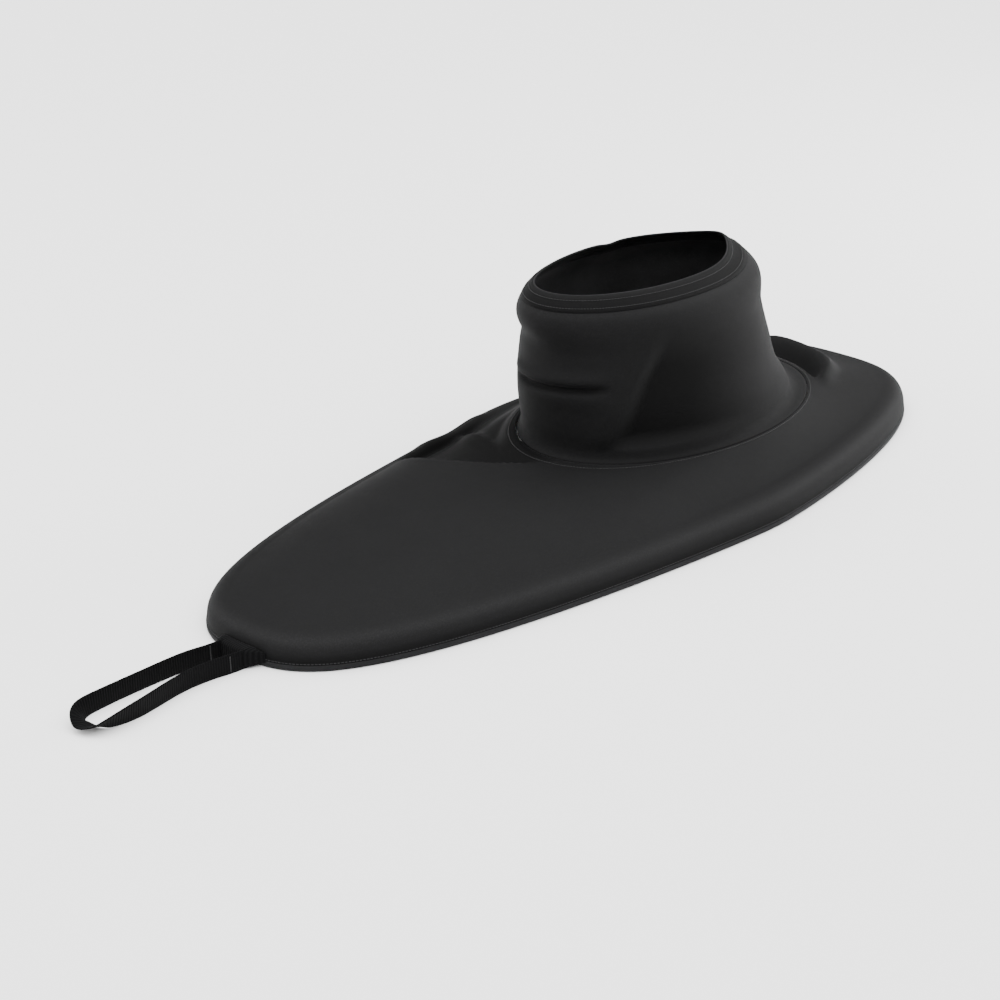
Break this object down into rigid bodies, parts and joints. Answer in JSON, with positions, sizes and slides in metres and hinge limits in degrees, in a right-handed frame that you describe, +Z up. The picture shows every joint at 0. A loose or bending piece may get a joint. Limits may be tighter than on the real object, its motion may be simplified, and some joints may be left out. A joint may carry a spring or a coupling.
{
  "type": "kayak spray skirt",
  "caption": "Teardrop neoprene spray deck with a standing waist tunnel, elastic rim hem and a webbing grab loop at the bow.",
  "frame": {"origin": "on the floor under the middle of the overall length, in the plane of symmetry of the deck, at the bottom of the rim hem", "axes": "+X towards the stern (the grab loop is at the bow, -X), +Y to port, +Z up through the waist tunnel"},
  "size_m": [2.2534, 0.7784, 0.47],
  "materials": {
    "neoprene": "matt black knit-faced neoprene",
    "hem_binding": "slightly paler black folded binding",
    "elastic": "black covered elastic cord",
    "thread": "dark grey sewing thread",
    "seam_tape": "black seam tape",
    "webbing": "ribbed black webbing"
  },
  "bodies": {
    "root": {"deck_panel": "neoprene", "rim_side_band": "neoprene", "rim_hem_fold": "hem_binding", "rim_elastic_cord": "elastic", "rim_cord_sleeve": "elastic", "rim_seam_stitch": "thread", "nose_reinforcement": "neoprene", "strap_anchor": "webbing", "deck_seam_tape": "seam_tape", "deck_seam_stitch": "thread", "tunnel_collar": "neoprene"},
    "tunnel": {"tunnel_port_panel": "neoprene", "tunnel_starboard_panel": "neoprene", "tunnel_front_seam_tape": "seam_tape", "tunnel_rear_seam_tape": "seam_tape", "tunnel_hem_band": "neoprene", "tunnel_rim_binding": "hem_binding", "hem_stitch_lower": "thread", "hem_stitch_upper": "thread"},
    "grab_loop": {"grab_webbing": "webbing", "loop_bar_tack_port": "thread", "loop_bar_tack_starboard": "thread", "loop_tip_tack": "thread"}
  },
  "joints": [
    {"name": "tunnel_lean", "type": "hinge", "parent": "root", "child": "tunnel", "pos_m": [0.373, 0, 0.17], "axis": [0, 1, 0], "range_deg": [-10, 10], "stiffness_Nm_per_rad": 30, "deforming": ["tunnel_collar"]},
    {"name": "grab_loop_swing", "type": "hinge", "parent": "root", "child": "grab_loop", "pos_m": [-0.8048, -0.018, 0.019], "axis": [0, 1, 0], "range_deg": [0, 95], "deforming": ["grab_webbing"]}
  ]
}
